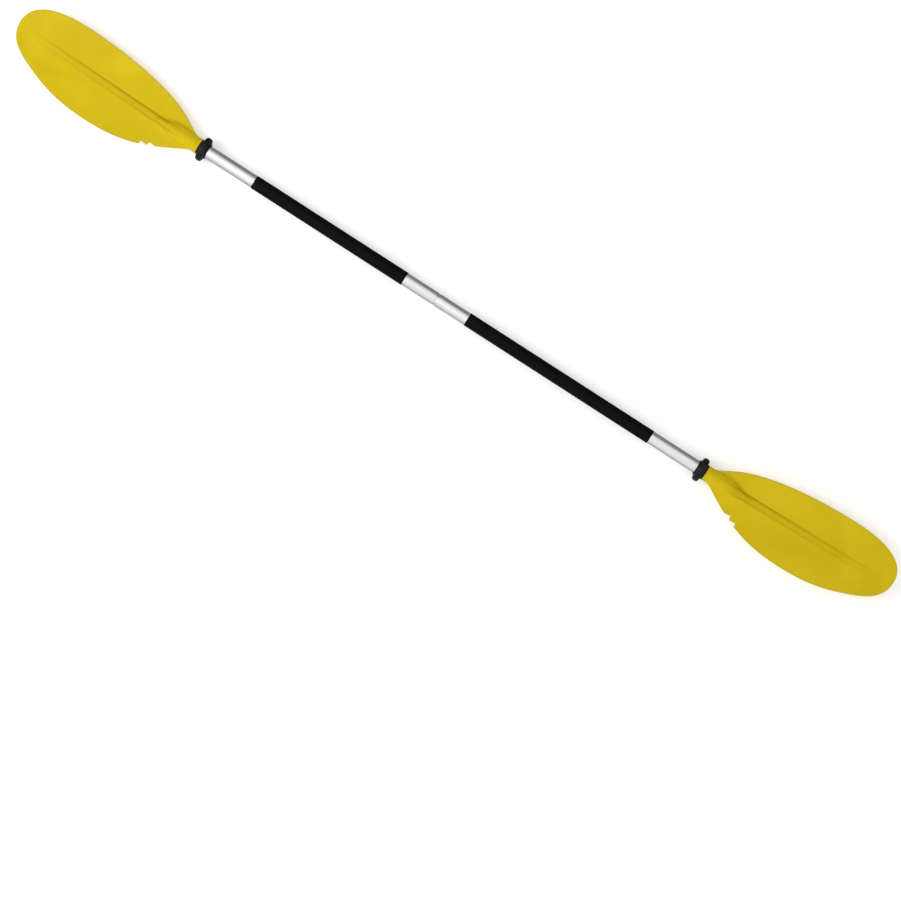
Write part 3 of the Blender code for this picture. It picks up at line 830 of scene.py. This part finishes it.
def makeLeftTube():
    bore = tubeRadius - shaft["wall"]
    spigot = bore - shaft["slide"]
    spigotBore = spigot - shaft["wall"]
    startX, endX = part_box("left_tube")[0].x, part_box("left_tube")[1].x
    shoulder = shaft["seamX"] - shaft["taper"]
    ease = np.linspace(0, 1, 13)
    swage = ease * ease * (3 - 2 * ease)
    places = shoulder + ease * shaft["taper"]
    outside = list(zip(places, tubeRadius + swage * (spigot - tubeRadius)))
    inside = list(zip(places, bore + swage * (spigotBore - bore)))
    profile = softEnd(startX, bore, tubeRadius, -1) + outside
    profile += softEnd(endX, spigotBore, spigot, 1) + inside[::-1]
    made = lathe("maleTube", profile + profile[:1], aluminium, shaft["sides"])
    cut(made, tubeCutter(buttonX, 0))
    made.data.set_sharp_from_angle(angle=math.radians(metalSharp))
    attach(made, "left_half", "shaft_aluminium", "left_tube")


makeRightTube()
makeLeftTube()
print("tubes ready")


# Grip sleeves

grip = {"wall": 0.0005, "round": 0.0004, "sides": 128}


def makeGrip(name, body, node):
    low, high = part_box(node)
    bore = high.z - grip["wall"]
    r = grip["round"]
    profile = [(low.x, bore)] + arc(low.x + r, high.z - r, r, 180, 90, 6)
    profile += arc(high.x - r, high.z - r, r, 90, 0, 6) + [(high.x, bore)]
    made = lathe(name, profile + profile[:1], gripFoam, grip["sides"])
    attach(made, body, "grip_foam", node)


makeGrip("leftGripSleeve", "left_half", "left_grip")
makeGrip("rightGripSleeve", "right_half", "right_grip")
print("grips ready")


# Drip rings

ring = {
    "disc": 0.015,
    "collar": 0.0024,
    "soften": 0.0008,
    "gap": 0.0003,
    "chamfer": 0.0004,
    "foot": (0.75, 0.04),  # where the collar starts to flare, as shares of its length and of the rise
    "flare": 0.10,
    "curve": (0.62, 0.85),
    "steps": 16,
    "sides": 128,
}


def makeRing(name, body, node):
    low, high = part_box(node)
    length = high.x - low.x
    bore = tubeRadius + ring["gap"]
    collar = bore + ring["collar"]
    shoulder = (length - ring["disc"]) / 2
    rise = ringRadius - collar
    soften = ring["soften"]
    side = [(ring["chamfer"], bore), (0, bore + ring["chamfer"])]
    side += arc(soften, collar - soften, soften, 180, 90, 4)
    along, up = ring["foot"]
    side.append((shoulder * along, collar + up * rise))
    halfDisc = ring["disc"] / 2
    flare = ring["flare"]
    inPower, upPower = ring["curve"]
    for k in range(1, ring["steps"] + 1):
        turn = math.pi / 2 * k / ring["steps"]
        x = shoulder + halfDisc * (1 - math.cos(turn) ** inPower)
        side.append((x, collar + rise * (flare + (1 - flare) * math.sin(turn) ** upPower)))
    profile = side + [(length - x, r) for x, r in reversed(side[:-1])]
    made = lathe(name, [(low.x + x, r) for x, r in profile + profile[:1]], ringRubber, ring["sides"])
    attach(made, body, "ring_rubber", node)


makeRing("leftDripRing", "left_ring", "left_drip_ring")
makeRing("rightDripRing", "right_ring", "right_drip_ring")
print("drip rings ready")


# Snap button and clip

button = {"dome": 0.0020, "round": 0.0003, "steps": 16, "sides": 64}


def makeButton():
    low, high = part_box("lock_button")
    radius = (high.x - low.x) / 2
    foot, top = -high.z, -low.z
    r, steps = button["round"], button["steps"]
    profile = [(foot, 0), (foot, radius - r)] + arc(foot + r, radius - r, r, 180, 90, 3)
    for k in range(1, steps + 1):
        turn = math.pi / 2 * k / steps
        r = radius * math.cos(turn) if k < steps else 0
        profile.append((top - button["dome"] + button["dome"] * math.sin(turn), r))
    made = lathe("snapButton", profile, lockSteel, button["sides"])
    made.data.transform(Matrix.Translation((buttonX, 0, 0)) @ Matrix.Rotation(math.pi / 2, 4, "Y"))
    attach(made, "button", "lock_steel", "lock_button")


makeButton()
for node, look in (("spring_clip", lockSteel), ("left_joint_bung", bungFoam), ("right_joint_bung", bungFoam)):
    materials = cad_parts[node].data.materials
    materials.clear()
    materials.append(look)
print("lock ready")


# Rivets

rivet = {
    "head": 0.0014,
    "headRadius": 0.0047,
    "headEdge": 0.0002,
    "headRise": 0.0003,
    "shankRadius": 0.0024,
    "bulge": 0.0012,
    "bulgeOut": 0.0022,
    "bore": 0.0015,
    "lip": 0.0003,
    "lipOut": 0.0005,
    "lipDepth": 0.0008,
    "domeEnd": 0.0007,
    "steps": 8,
    "sides": 48,
    "count": 2,
}


def makeRivets(name, body, side):
    nodes = [f"{side}_rivet_{k + 1}" for k in range(rivet["count"])]
    low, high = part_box(nodes[0])
    nextLow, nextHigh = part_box(nodes[1])
    first = (low.x + high.x) / 2
    pitch = (nextLow.x + nextHigh.x) / 2 - first
    bottom, top = -high.z, -low.z
    seat = top - rivet["head"]
    bore, shank, bulge = rivet["bore"], rivet["shankRadius"], rivet["bulge"]
    edge, rise, lip = rivet["headEdge"], rivet["headRise"], rivet["lip"]
    profile = [(bottom, bore), (bottom, shank)]
    profile += arc(bottom + bulge, rivet["bulgeOut"], bulge, 180, 60, 6)
    profile += [(bottom + 2 * bulge, shank), (seat, shank), (seat, rivet["headRadius"] - edge)]
    profile += arc(seat + edge, rivet["headRadius"] - edge, edge, 90, 20, 3)
    for k in range(1, rivet["steps"] + 1):
        share = k / rivet["steps"]
        r = rivet["headRadius"] * (1 - share) + (bore + rivet["domeEnd"]) * share
        profile.append((seat + rise + (rivet["head"] - rise) * math.sin(math.pi / 2 * share), r))
    profile += arc(top - lip, bore + rivet["lipOut"], lip, 60, -60, 4)
    profile.append((top - rivet["lipDepth"], bore))
    shape = lathe(name, profile + profile[:1], rivetMetal, rivet["sides"])
    made = runTree(name, shape.data, rowTree, Count=rivet["count"], First=first, Pitch=pitch,
                   Material=rivetMetal)
    bpy.data.objects.remove(shape)
    made.data.set_sharp_from_angle(angle=math.radians(metalSharp))
    attach(made, body, "rivet_metal", *nodes)


mandrel = {
    "stem": 0.0012,
    "ballDepth": 0.0018,
    "tipSteps": ((0.0003, 1), (0.0001, 0.8), (0.0002, 0.4), (0, 0)),  # depth and share of the stem's radius
    "sides": 40,
}


def makeMandrels(name, body, side):
    nodes = [f"{side}_mandrel_{k + 1}" for k in range(rivet["count"])]
    low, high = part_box(nodes[0])
    nextLow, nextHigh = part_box(nodes[1])
    first = (low.x + high.x) / 2
    pitch = (nextLow.x + nextHigh.x) / 2 - first
    inner, outer = -high.z, -low.z
    ball = (high.x - low.x) / 2
    stem, depth = mandrel["stem"], mandrel["ballDepth"]
    turns = np.linspace(0.25, math.pi / 2, 8)
    profile = [(inner, 0)]
    profile += [(inner + depth * (1 - math.cos(a)), ball * math.sin(a)) for a in turns]
    profile.append((inner + depth, stem))
    profile += [(outer - back, stem * share) for back, share in mandrel["tipSteps"]]
    shape = lathe(name, profile, mandrelSteel, mandrel["sides"])
    made = runTree(name, shape.data, rowTree, Count=rivet["count"], First=first, Pitch=pitch,
                   Material=mandrelSteel)
    bpy.data.objects.remove(shape)
    made.data.set_sharp_from_angle(angle=math.radians(metalSharp))
    attach(made, body, "rivet_steel", *nodes)


for side in ("left", "right"):
    makeRivets(side + "Rivets", side + "_half", side)
    makeMandrels(side + "Mandrels", side + "_half", side)
print("rivets ready")


# Floor and light

studio = {
    "floor": (0.80, 0.80, 0.80, 1),
    "floorReach": 15,
    "floorGap": 0.0002,
    "glow": 0.35,
    "keyPower": 34,
    "keySize": 1.6,
    "keyPlace": (-2.1, -0.9, 2.6),
    "zenith": 0.95,
    "nearSide": 0.88,
    "farSide": 0.22,
    "below": 0.50,
    "belowRamp": (-0.10, 0.02),
    "sideRamp": (-0.25, 0.40),
    "zenithRamp": (0.42, 0.80),
}


def makeFloor():
    mesh = bpy.data.meshes.new("floor")
    reach = studio["floorReach"]
    z = -ringRadius - studio["floorGap"]
    corners = [(-reach, -reach, z), (reach, -reach, z), (reach, reach, z), (-reach, reach, z)]
    mesh.from_pydata(corners, [], [(0, 1, 2, 3)])
    made = bpy.data.objects.new("floor", mesh)
    bpy.context.scene.collection.objects.link(made)
    look = bpy.data.materials.new("paleFloor")
    look.use_nodes = True
    shader = look.node_tree.nodes["Principled BSDF"]
    shader.inputs["Base Color"].default_value = studio["floor"]
    shader.inputs["Roughness"].default_value = 0.9
    shader.inputs["Specular IOR Level"].default_value = 0.1
    shader.inputs["Emission Color"].default_value = (1, 1, 1, 1)
    shader.inputs["Emission Strength"].default_value = studio["glow"]
    mesh.materials.append(look)
    made.visible_glossy = False


def makeLight(name, place, size, power):  # aimed at the middle of the paddle
    data = bpy.data.lights.new(name, "AREA")
    data.shape = "RECTANGLE"
    data.size, data.size_y = size, size
    data.energy = power
    made = bpy.data.objects.new(name, data)
    bpy.context.scene.collection.objects.link(made)
    made.location = place
    made.rotation_euler = (-Vector(place)).to_track_quat("-Z", "Y").to_euler()


def makeWorld():  # white above, light on the near side and dark on the far side, plain to the camera
    world = bpy.data.worlds.new("studio")
    world.use_nodes = True
    bpy.context.scene.world = world
    tree = world.node_tree
    background = tree.nodes["Background"]
    direction = newNode(tree, "ShaderNodeTexCoord").outputs["Generated"]
    split = newNode(tree, "ShaderNodeSeparateXYZ", {0: direction}).outputs
    below = remap(tree, split[2], *studio["belowRamp"], studio["below"], studio["nearSide"])
    aside = remap(tree, split[1], *studio["sideRamp"], below, studio["farSide"])
    upward = remap(tree, split[2], *studio["zenithRamp"], 0.0, 1.0)
    level = newNode(tree, "ShaderNodeMix", {0: upward, 2: aside, 3: studio["zenith"]}).outputs[0]
    seen = newNode(tree, "ShaderNodeLightPath").outputs["Is Camera Ray"]
    level = newNode(tree, "ShaderNodeMix", {0: seen, 2: level, 3: 1.0}).outputs[0]
    tree.links.new(level, background.inputs["Strength"])
    background.inputs["Color"].default_value = (1, 1, 1, 1)


makeFloor()
makeLight("key", studio["keyPlace"], studio["keySize"], studio["keyPower"])
makeWorld()
bpy.context.scene.view_settings.view_transform = "Standard"
print("studio ready")
